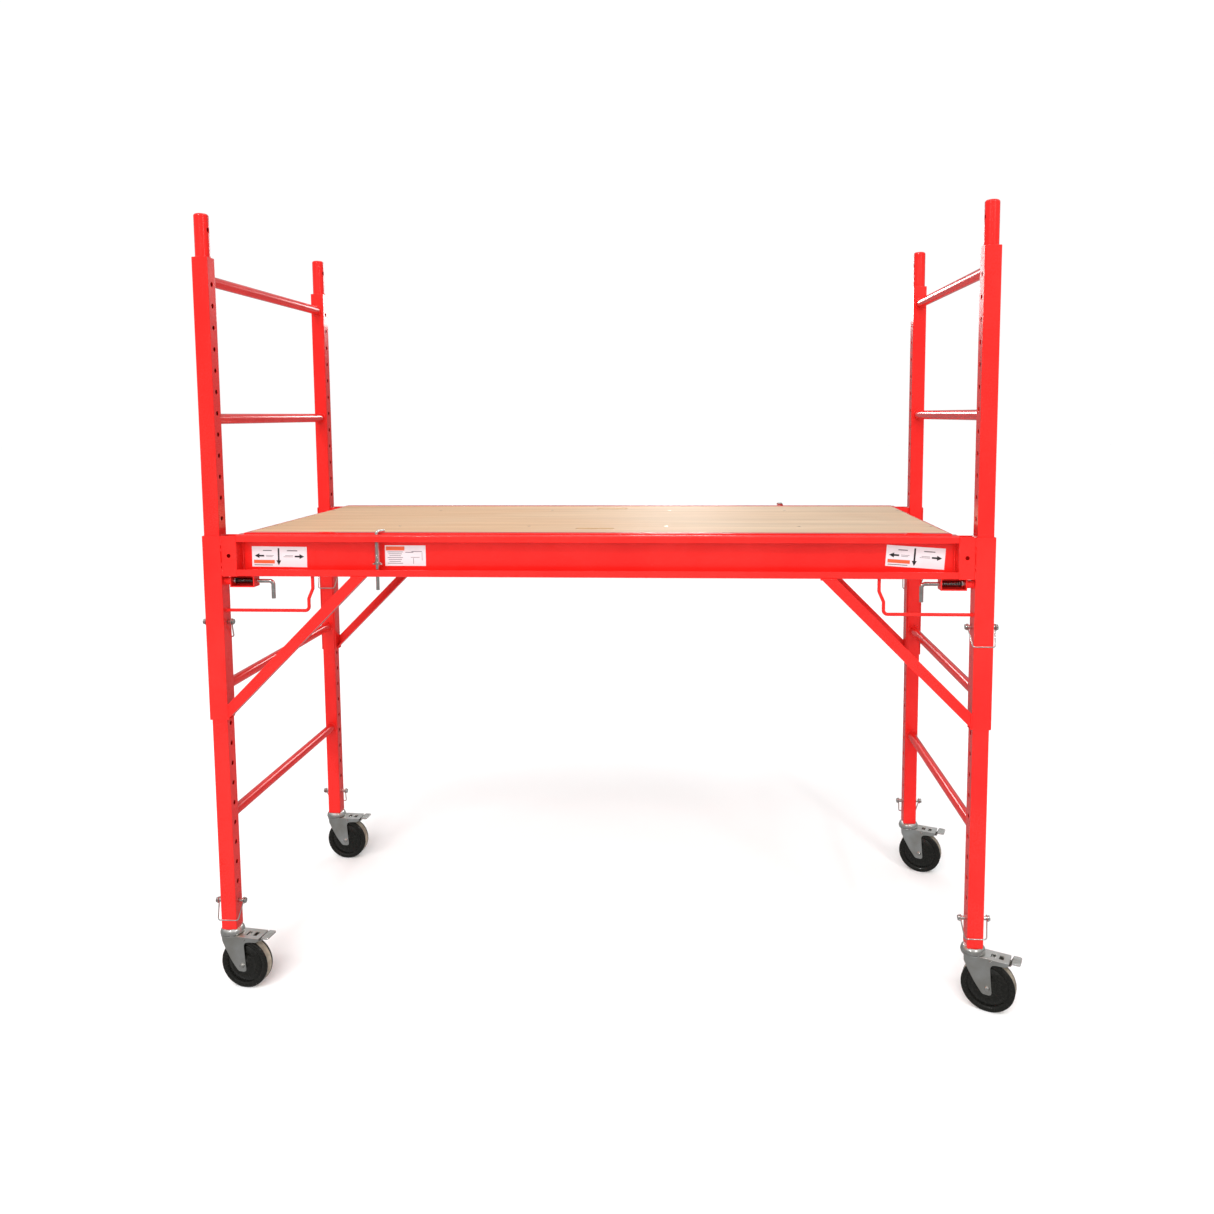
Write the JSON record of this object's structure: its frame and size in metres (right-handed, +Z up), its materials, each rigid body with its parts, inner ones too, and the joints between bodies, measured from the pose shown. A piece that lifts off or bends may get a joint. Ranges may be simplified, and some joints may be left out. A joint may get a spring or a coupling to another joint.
{
  "type": "baker scaffold",
  "caption": "Rolling baker scaffold with ladder end frames, drop-in side trusses with sprung latches, a framed plywood deck and braked swivel casters.",
  "frame": {"origin": "on the floor, under the middle of the whole object", "axes": "+X along the deck from the left end frame to the right one, the way the casters trail; +Y across the deck from the front truss to the rear one; +Z up"},
  "size_m": [1.9797, 0.7901, 1.907],
  "materials": {
    "red_powder_coat": "smooth semi-gloss powder coat",
    "zinc_steel": "bright zinc plate",
    "spring_steel": "dark oiled spring wire",
    "plywood": "raw sanded veneer",
    "label_film": "plain printed film",
    "black_tyre": "moulded black rubber"
  },
  "bodies": {
    "scaffold": {"posts_left": "red_powder_coat", "posts_right": "red_powder_coat", "rungs_left": "red_powder_coat", "rungs_right": "red_powder_coat", "coupling_pins": "red_powder_coat", "truss_rail_front": "red_powder_coat", "truss_rail_rear": "red_powder_coat", "post_sleeves": "red_powder_coat", "spacer_tubes": "red_powder_coat", "knee_braces": "red_powder_coat", "latch_housings": "red_powder_coat", "handle_guards": "red_powder_coat", "rail_labels": "label_film", "deck_panel": "plywood", "deck_frame": "red_powder_coat", "deck_cross_members": "red_powder_coat", "deck_screws": "zinc_steel", "sleeve_lock_pins": "zinc_steel", "caster_lock_pins": "zinc_steel", "caster_stems": "zinc_steel", "swivel_balls": "zinc_steel", "latch_spring_fl": "spring_steel", "latch_spring_fr": "spring_steel", "latch_spring_rr": "spring_steel", "latch_spring_rl": "spring_steel", "deck_lock_spring_front": "zinc_steel", "deck_lock_spring_rear": "zinc_steel"},
    "latch_fl": {"latch_rod_fl": "zinc_steel"},
    "latch_fr": {"latch_rod_fr": "zinc_steel"},
    "latch_rr": {"latch_rod_rr": "zinc_steel"},
    "latch_rl": {"latch_rod_rl": "zinc_steel"},
    "deck_lock_washer_front": {"deck_lock_washer_front": "zinc_steel"},
    "deck_lock_rod_front": {"deck_lock_rod_front": "zinc_steel"},
    "deck_lock_washer_rear": {"deck_lock_washer_rear": "zinc_steel"},
    "deck_lock_rod_rear": {"deck_lock_rod_rear": "zinc_steel"},
    "sleeve_pin_bail_fl": {"sleeve_pin_bail_fl": "zinc_steel"},
    "sleeve_pin_bail_fr": {"sleeve_pin_bail_fr": "zinc_steel"},
    "sleeve_pin_bail_rr": {"sleeve_pin_bail_rr": "zinc_steel"},
    "sleeve_pin_bail_rl": {"sleeve_pin_bail_rl": "zinc_steel"},
    "caster_pin_bail_fl": {"caster_pin_bail_fl": "zinc_steel"},
    "caster_pin_bail_fr": {"caster_pin_bail_fr": "zinc_steel"},
    "caster_pin_bail_rr": {"caster_pin_bail_rr": "zinc_steel"},
    "caster_pin_bail_rl": {"caster_pin_bail_rl": "zinc_steel"},
    "caster_yoke_fl": {"caster_yoke_fl": "zinc_steel", "caster_axle_fl": "zinc_steel"},
    "caster_wheel_fl": {"caster_wheel_fl": "black_tyre"},
    "brake_pedal_fl": {"brake_pedal_fl": "zinc_steel"},
    "caster_yoke_fr": {"caster_yoke_fr": "zinc_steel", "caster_axle_fr": "zinc_steel"},
    "caster_wheel_fr": {"caster_wheel_fr": "black_tyre"},
    "brake_pedal_fr": {"brake_pedal_fr": "zinc_steel"},
    "caster_yoke_rr": {"caster_yoke_rr": "zinc_steel", "caster_axle_rr": "zinc_steel"},
    "caster_wheel_rr": {"caster_wheel_rr": "black_tyre"},
    "brake_pedal_rr": {"brake_pedal_rr": "zinc_steel"},
    "caster_yoke_rl": {"caster_yoke_rl": "zinc_steel", "caster_axle_rl": "zinc_steel"},
    "caster_wheel_rl": {"caster_wheel_rl": "black_tyre"},
    "brake_pedal_rl": {"brake_pedal_rl": "zinc_steel"}
  },
  "joints": [
    {"name": "latch_fl_slide", "type": "slide", "parent": "scaffold", "child": "latch_fl", "axis": [1, 0, 0], "range_m": [0, 0.025], "stiffness_N_per_m": 300, "springref_m": -0.02, "deforming": ["latch_spring_fl"]},
    {"name": "latch_fr_slide", "type": "slide", "parent": "scaffold", "child": "latch_fr", "axis": [-1, 0, 0], "range_m": [0, 0.025], "stiffness_N_per_m": 300, "springref_m": -0.02, "deforming": ["latch_spring_fr"]},
    {"name": "latch_rr_slide", "type": "slide", "parent": "scaffold", "child": "latch_rr", "axis": [-1, 0, 0], "range_m": [0, 0.025], "stiffness_N_per_m": 300, "springref_m": -0.02, "deforming": ["latch_spring_rr"]},
    {"name": "latch_rl_slide", "type": "slide", "parent": "scaffold", "child": "latch_rl", "axis": [1, 0, 0], "range_m": [0, 0.025], "stiffness_N_per_m": 300, "springref_m": -0.02, "deforming": ["latch_spring_rl"]},
    {"name": "deck_lock_front_lift", "type": "slide", "parent": "scaffold", "child": "deck_lock_washer_front", "axis": [0, 0, 1], "range_m": [0, 0.008], "stiffness_N_per_m": 500, "springref_m": -0.01, "deforming": ["deck_lock_spring_front"]},
    {"name": "deck_lock_front_turn", "type": "hinge", "parent": "deck_lock_washer_front", "child": "deck_lock_rod_front", "pos_m": [-0.551, -0.3422, 1.077], "axis": [0, 0, 1], "range_deg": [-100, 0]},
    {"name": "deck_lock_rear_lift", "type": "slide", "parent": "scaffold", "child": "deck_lock_washer_rear", "axis": [0, 0, 1], "range_m": [0, 0.008], "stiffness_N_per_m": 500, "springref_m": -0.01, "deforming": ["deck_lock_spring_rear"]},
    {"name": "deck_lock_rear_turn", "type": "hinge", "parent": "deck_lock_washer_rear", "child": "deck_lock_rod_rear", "pos_m": [0.479, 0.3742, 1.077], "axis": [0, 0, 1], "range_deg": [-100, 0]},
    {"name": "sleeve_pin_bail_fl_swing", "type": "hinge", "parent": "scaffold", "child": "sleeve_pin_bail_fl", "pos_m": [-0.953, -0.33325, 0.9297], "axis": [1, 0, 0], "range_deg": [0, 100]},
    {"name": "sleeve_pin_bail_fr_swing", "type": "hinge", "parent": "scaffold", "child": "sleeve_pin_bail_fr", "pos_m": [0.881, -0.33325, 0.9297], "axis": [-1, 0, 0], "range_deg": [0, 100]},
    {"name": "sleeve_pin_bail_rr_swing", "type": "hinge", "parent": "scaffold", "child": "sleeve_pin_bail_rr", "pos_m": [0.881, 0.36525, 0.9297], "axis": [1, 0, 0], "range_deg": [0, 100]},
    {"name": "sleeve_pin_bail_rl_swing", "type": "hinge", "parent": "scaffold", "child": "sleeve_pin_bail_rl", "pos_m": [-0.953, 0.36525, 0.9297], "axis": [-1, 0, 0], "range_deg": [0, 100]},
    {"name": "caster_pin_bail_fl_swing", "type": "hinge", "parent": "scaffold", "child": "caster_pin_bail_fl", "pos_m": [-0.953, -0.33325, 0.2185], "axis": [-1, 0, 0], "range_deg": [0, 100]},
    {"name": "caster_pin_bail_fr_swing", "type": "hinge", "parent": "scaffold", "child": "caster_pin_bail_fr", "pos_m": [0.881, -0.33325, 0.2185], "axis": [-1, 0, 0], "range_deg": [0, 100]},
    {"name": "caster_pin_bail_rr_swing", "type": "hinge", "parent": "scaffold", "child": "caster_pin_bail_rr", "pos_m": [0.881, 0.36525, 0.2185], "axis": [1, 0, 0], "range_deg": [0, 100]},
    {"name": "caster_pin_bail_rl_swing", "type": "hinge", "parent": "scaffold", "child": "caster_pin_bail_rl", "pos_m": [-0.953, 0.36525, 0.2185], "axis": [1, 0, 0], "range_deg": [0, 100]},
    {"name": "caster_fl_swivel", "type": "hinge", "parent": "scaffold", "child": "caster_yoke_fl", "pos_m": [-0.953, -0.33325, 0.1365], "axis": [0, 0, 1], "continuous": true},
    {"name": "caster_fl_roll", "type": "hinge", "parent": "caster_yoke_fl", "child": "caster_wheel_fl", "pos_m": [-0.91587, -0.33847, 0.0625], "axis": [0.1392, 0.9903, 0], "continuous": true},
    {"name": "caster_fl_brake", "type": "hinge", "parent": "caster_yoke_fl", "child": "brake_pedal_fl", "pos_m": [-0.90943, -0.33937, 0.1294], "axis": [0.1392, 0.9903, 0], "range_deg": [0, 14]},
    {"name": "caster_fr_swivel", "type": "hinge", "parent": "scaffold", "child": "caster_yoke_fr", "pos_m": [0.881, -0.33325, 0.1365], "axis": [0, 0, 1], "continuous": true},
    {"name": "caster_fr_roll", "type": "hinge", "parent": "caster_yoke_fr", "child": "caster_wheel_fr", "pos_m": [0.91499, -0.3491, 0.0625], "axis": [0.4226, 0.9063, 0], "continuous": true},
    {"name": "caster_fr_brake", "type": "hinge", "parent": "caster_yoke_fr", "child": "brake_pedal_fr", "pos_m": [0.92088, -0.35185, 0.1294], "axis": [0.4226, 0.9063, 0], "range_deg": [0, 14]},
    {"name": "caster_rr_swivel", "type": "hinge", "parent": "scaffold", "child": "caster_yoke_rr", "pos_m": [0.881, 0.36525, 0.1365], "axis": [0, 0, 1], "continuous": true},
    {"name": "caster_rr_roll", "type": "hinge", "parent": "caster_yoke_rr", "child": "caster_wheel_rr", "pos_m": [0.91577, 0.3512, 0.0625], "axis": [0.3746, 0.9272, 0], "continuous": true},
    {"name": "caster_rr_brake", "type": "hinge", "parent": "caster_yoke_rr", "child": "brake_pedal_rr", "pos_m": [0.9218, 0.34877, 0.1294], "axis": [0.3746, 0.9272, 0], "range_deg": [0, 14]},
    {"name": "caster_rl_swivel", "type": "hinge", "parent": "scaffold", "child": "caster_yoke_rl", "pos_m": [-0.953, 0.36525, 0.1365], "axis": [0, 0, 1], "continuous": true},
    {"name": "caster_rl_roll", "type": "hinge", "parent": "caster_yoke_rl", "child": "caster_wheel_rl", "pos_m": [-0.91559, 0.36263, 0.0625], "axis": [0.0698, 0.9976, 0], "continuous": true},
    {"name": "caster_rl_brake", "type": "hinge", "parent": "caster_yoke_rl", "child": "brake_pedal_rl", "pos_m": [-0.90911, 0.36218, 0.1294], "axis": [0.0698, 0.9976, 0], "range_deg": [0, 14]}
  ]
}
